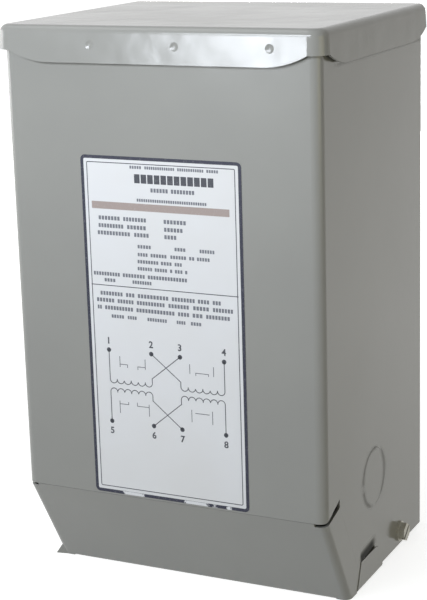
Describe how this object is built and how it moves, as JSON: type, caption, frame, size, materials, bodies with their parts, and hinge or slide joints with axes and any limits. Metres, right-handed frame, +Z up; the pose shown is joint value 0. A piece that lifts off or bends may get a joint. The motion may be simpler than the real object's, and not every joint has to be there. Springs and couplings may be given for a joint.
{
  "type": "dry-type buck-boost transformer in a wall case",
  "caption": "Small encapsulated buck-boost transformer in a folded sheet-steel wall case with a lipped cover, a sloped wiring front, side knockouts and a keyholed back.",
  "frame": {"origin": "centre of the bounding box on the floor plane", "axes": "+Z up, the front panel faces -Y, +X is on the right of someone who faces the front"},
  "size_m": [0.16, 0.1344, 0.263],
  "materials": {
    "grey_enamel": "satin grey baked enamel on sheet steel",
    "zinc_plate": "yellow-passivated zinc plate",
    "potting_resin": "sand-filled potting resin, matt",
    "label_film": "gloss printed polyester label"
  },
  "bodies": {
    "root": {"case": "grey_enamel", "back_panel": "grey_enamel", "top_cover": "grey_enamel", "sloped_front": "grey_enamel", "bottom_cover": "grey_enamel", "right_knockout": "grey_enamel", "left_knockout": "grey_enamel", "right_cover_screw": "zinc_plate", "left_cover_screw": "zinc_plate", "potted_core": "potting_resin"}
  },
  "joints": []
}
